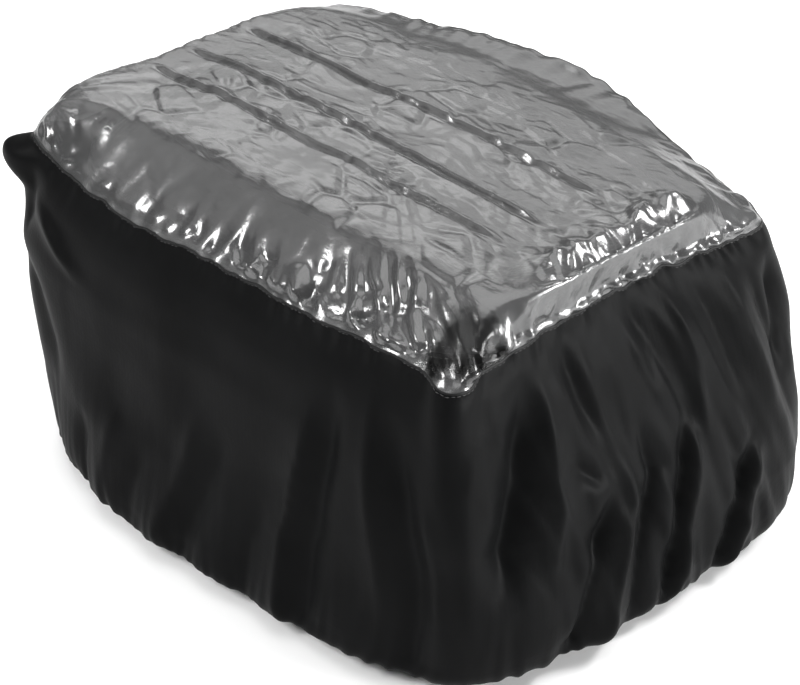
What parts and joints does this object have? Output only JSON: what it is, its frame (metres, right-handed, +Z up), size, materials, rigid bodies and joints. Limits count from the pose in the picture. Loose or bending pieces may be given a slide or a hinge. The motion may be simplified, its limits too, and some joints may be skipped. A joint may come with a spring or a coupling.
{
  "type": "tank bag",
  "caption": "Motorcycle tank bag in a fitted rain cover: clear top over the raised lid, dark gathered skirt with an elastic hem tucked under the base.",
  "frame": {"origin": "middle of the footprint, on the surface that the bag stands on", "axes": "+X towards the front of the motorcycle along the bag's length, +Y to its left, +Z up"},
  "size_m": [0.464, 0.352, 0.252],
  "materials": {
    "base_pad_rubber": "matt non-slip rubber",
    "bag_fabric": "woven nylon",
    "board_plastic": "plain sheet plastic",
    "magnet_steel": "plated disc",
    "foam": "closed-cell foam",
    "lining_fabric": "thin woven lining",
    "piping_plastic": "covered piping cord",
    "zip_tape": "woven tape",
    "zip_coil": "nylon coil",
    "zip_metal": "black lacquered zinc",
    "pull_plastic": "moulded plastic",
    "map_window_clear": "clear flexible PVC",
    "binding_fabric": "bound edge tape",
    "webbing": "woven webbing",
    "grip_rubber": "soft moulded grip",
    "cover_clear": "slightly cloudy flexible PVC",
    "cover_nylon": "thin coated nylon, slight sheen",
    "elastic": "round elastic cord"
  },
  "bodies": {
    "bag": {"base_pad": "base_pad_rubber", "base_panel": "bag_fabric", "base_board": "board_plastic", "base_magnets": "magnet_steel", "base_foam": "foam", "floor_lining": "lining_fabric", "base_piping": "piping_plastic", "wall_outer": "bag_fabric", "wall_foam": "foam", "wall_lining": "lining_fabric", "zip_tape_lower": "zip_tape", "zip_coil_lower": "zip_coil", "zip_end_stops": "zip_metal", "hinge_flap_lower": "bag_fabric", "hinge_piping": "piping_plastic"},
    "lid": {"zip_tape_upper": "zip_tape", "zip_coil_upper": "zip_coil", "hinge_flap_upper": "bag_fabric", "lid_outer": "bag_fabric", "lid_foam": "foam", "lid_lining": "lining_fabric", "lid_piping": "piping_plastic", "map_pocket_gusset": "bag_fabric", "map_window": "map_window_clear", "map_window_binding": "binding_fabric", "map_zip_tape": "zip_tape", "map_zip_coil": "zip_coil", "handle_anchors": "webbing"},
    "handle": {"handle_webbing": "webbing", "handle_grip": "grip_rubber"},
    "slider_left": {"zip_slider_left": "zip_metal"},
    "slider_right": {"zip_slider_right": "zip_metal"},
    "pull_left": {"zip_pull_left": "pull_plastic"},
    "pull_right": {"zip_pull_right": "pull_plastic"},
    "map_slider": {"map_zip_slider": "zip_metal"},
    "map_pull": {"map_zip_pull": "pull_plastic"},
    "cover": {"cover_window": "cover_clear", "cover_seam_tape": "cover_nylon", "cover_skirt": "cover_nylon", "cover_hem": "cover_nylon", "cover_hem_channel": "cover_nylon", "cover_hem_elastic": "elastic"}
  },
  "joints": [
    {"name": "cover_lift", "type": "slide", "parent": "bag", "child": "cover", "axis": [0, 0, 1], "range_m": [0, 0.75], "deforming": ["cover_hem", "cover_hem_channel", "cover_hem_elastic"]},
    {"name": "lid_open", "type": "hinge", "parent": "bag", "child": "lid", "pos_m": [0.1888, 0, 0.2], "axis": [0, 1, 0], "range_deg": [0, 95]},
    {"name": "handle_raise", "type": "hinge", "parent": "lid", "child": "handle", "pos_m": [0.1926, 0, 0.219], "axis": [0, 1, 0], "range_deg": [0, 60]},
    {"name": "zip_slide_left", "type": "slide", "parent": "bag", "child": "slider_left", "axis": [0, 1, 0], "range_m": [0, 0.064]},
    {"name": "zip_slide_right", "type": "slide", "parent": "bag", "child": "slider_right", "axis": [0, -1, 0], "range_m": [0, 0.064]},
    {"name": "zip_tab_left", "type": "hinge", "parent": "slider_left", "child": "pull_left", "pos_m": [-0.1921, 0.009, 0.2], "axis": [0, 0, 1], "range_deg": [0, 90]},
    {"name": "zip_tab_right", "type": "hinge", "parent": "slider_right", "child": "pull_right", "pos_m": [-0.1921, -0.009, 0.2], "axis": [0, 0, -1], "range_deg": [0, 90]},
    {"name": "map_zip_slide", "type": "slide", "parent": "lid", "child": "map_slider", "axis": [0, -1, 0], "range_m": [0, 0.12]},
    {"name": "map_zip_tab", "type": "hinge", "parent": "map_slider", "child": "map_pull", "pos_m": [-0.147, 0.06, 0.2475], "axis": [-1, 0, 0], "range_deg": [0, 150]}
  ],
  "couplings": [
    {"joint": "lid_open", "follows": "cover_lift", "rad_per_m": 2.2107},
    {"joint": "handle_raise", "follows": "cover_lift", "rad_per_m": 1.3962},
    {"joint": "zip_tab_left", "follows": "cover_lift", "rad_per_m": 2.0943},
    {"joint": "zip_tab_right", "follows": "cover_lift", "rad_per_m": 2.0943},
    {"joint": "map_zip_tab", "follows": "cover_lift", "rad_per_m": 3.4906}
  ]
}
